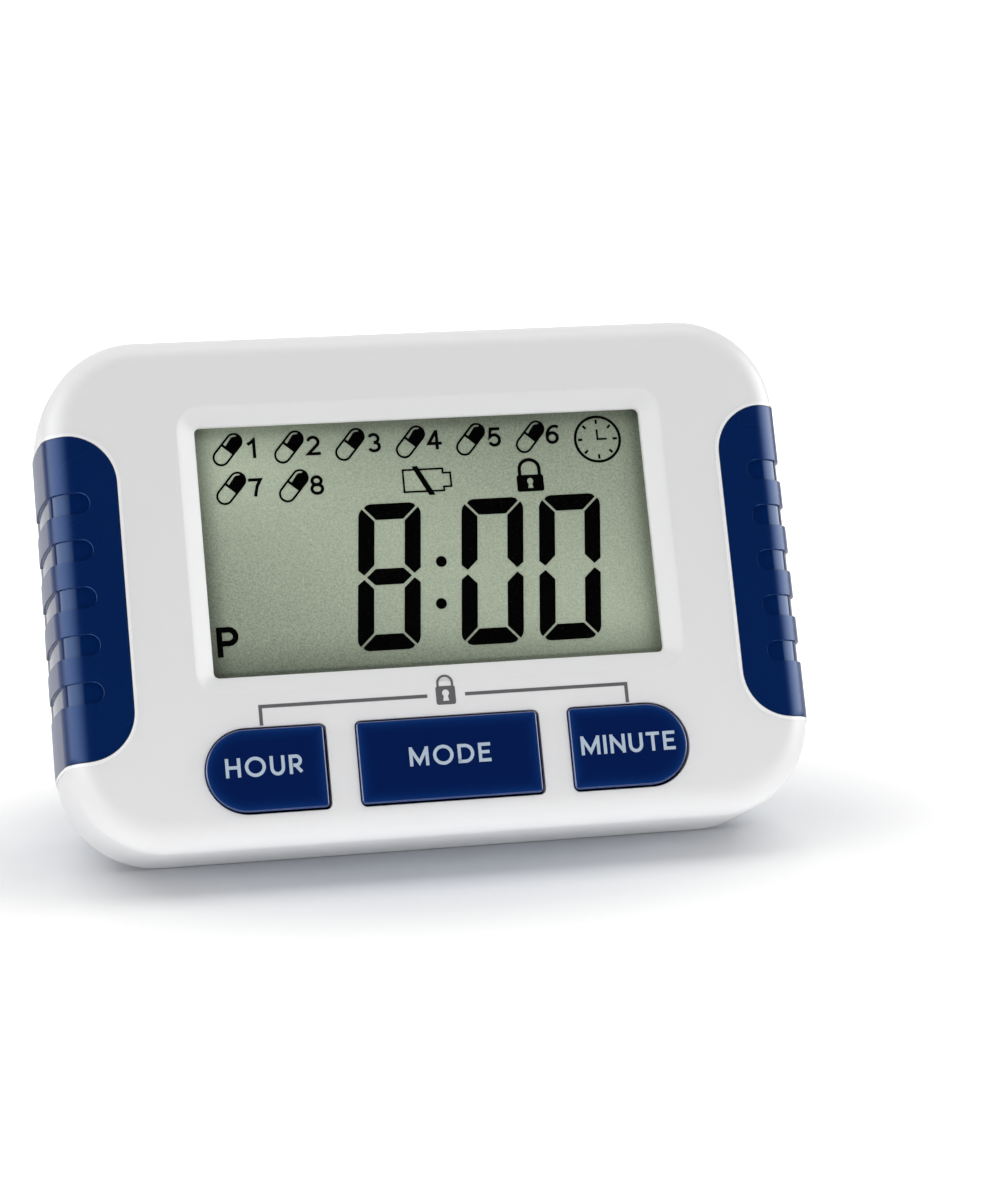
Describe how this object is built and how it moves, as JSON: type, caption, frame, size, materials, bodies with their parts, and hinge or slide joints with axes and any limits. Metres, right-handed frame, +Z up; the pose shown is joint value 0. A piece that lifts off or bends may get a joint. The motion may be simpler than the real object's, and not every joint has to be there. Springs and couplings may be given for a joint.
{
  "type": "pill box with timer",
  "caption": "Pocket pill box with an alarm timer: display, push buttons and side grips in front, pill compartments under a hinged lid behind.",
  "frame": {"origin": "centre of the footprint, on the surface that the sloping base rests on", "axes": "+X across the box, to the right as the display is read; +Y to the back; +Z up. The face leans back 23.5 degrees"},
  "size_m": [0.0822, 0.0452, 0.056],
  "materials": {
    "white_plastic": "satin white moulded plastic",
    "navy_plastic": "satin navy moulded plastic",
    "navy_rubber": "satin navy rubber",
    "clear_lens": "polished clear window",
    "lcd_glass": "grey-green liquid crystal panel",
    "frame_plastic": "matt white moulded plastic",
    "grey_silicone": "matt grey silicone",
    "zebra_rubber": "matt layered rubber",
    "board_green": "green solder mask",
    "black_epoxy": "glossy black epoxy",
    "black_plastic": "matt black plastic",
    "bright_steel": "bright plated steel",
    "cell_sleeve": "plain gold foil sleeve",
    "red_insulation": "red insulation",
    "black_insulation": "black insulation"
  },
  "bodies": {
    "case": {"battery_bridge": "bright_steel", "battery_lead_black": "black_insulation", "battery_lead_red": "red_insulation", "board_screw_1": "bright_steel", "board_screw_2": "bright_steel", "board_screw_3": "bright_steel", "board_screw_4": "bright_steel", "buzzer": "black_plastic", "capacitor": "black_plastic", "case_screw_1": "bright_steel", "case_screw_2": "bright_steel", "cell_lower": "cell_sleeve", "cell_upper": "cell_sleeve", "chip_blob": "black_epoxy", "crystal": "bright_steel", "display_lens": "clear_lens", "front_shell": "white_plastic", "keypad": "grey_silicone", "lcd_frame": "frame_plastic", "lcd_panel": "lcd_glass", "left_grip": "navy_rubber", "lid_hinge_pin": "bright_steel", "main_board": "board_green", "negative_terminal": "bright_steel", "positive_terminal": "bright_steel", "rear_shell": "white_plastic", "right_grip": "navy_rubber", "spring_lower": "bright_steel", "spring_upper": "bright_steel", "zebra_strip": "zebra_rubber"},
    "hour_button": {"hour_button": "navy_plastic"},
    "mode_button": {"mode_button": "navy_plastic"},
    "minute_button": {"minute_button": "navy_plastic"},
    "pill_lid": {"pill_lid": "white_plastic"},
    "battery_door": {"battery_door": "white_plastic"}
  },
  "joints": [
    {"name": "hour_button_press", "type": "slide", "parent": "case", "child": "hour_button", "axis": [0, 0.9171, -0.3987], "range_m": [0, 0.0009], "stiffness_N_per_m": 900, "springref_m": -0.0003, "deforming": ["keypad"]},
    {"name": "mode_button_press", "type": "slide", "parent": "case", "child": "mode_button", "axis": [0, 0.9171, -0.3987], "range_m": [0, 0.0009], "stiffness_N_per_m": 900, "springref_m": -0.0003, "deforming": ["keypad"]},
    {"name": "minute_button_press", "type": "slide", "parent": "case", "child": "minute_button", "axis": [0, 0.9171, -0.3987], "range_m": [0, 0.0009], "stiffness_N_per_m": 900, "springref_m": -0.0003, "deforming": ["keypad"]},
    {"name": "pill_lid_hinge", "type": "hinge", "parent": "case", "child": "pill_lid", "pos_m": [0, 0.02081, 0.04229], "axis": [1, 0, 0], "range_deg": [0, 120]},
    {"name": "battery_door_tilt", "type": "hinge", "parent": "case", "child": "battery_door", "pos_m": [0, 0.00461, 0.00239], "axis": [-1, 0, 0], "range_deg": [0, 35]}
  ]
}
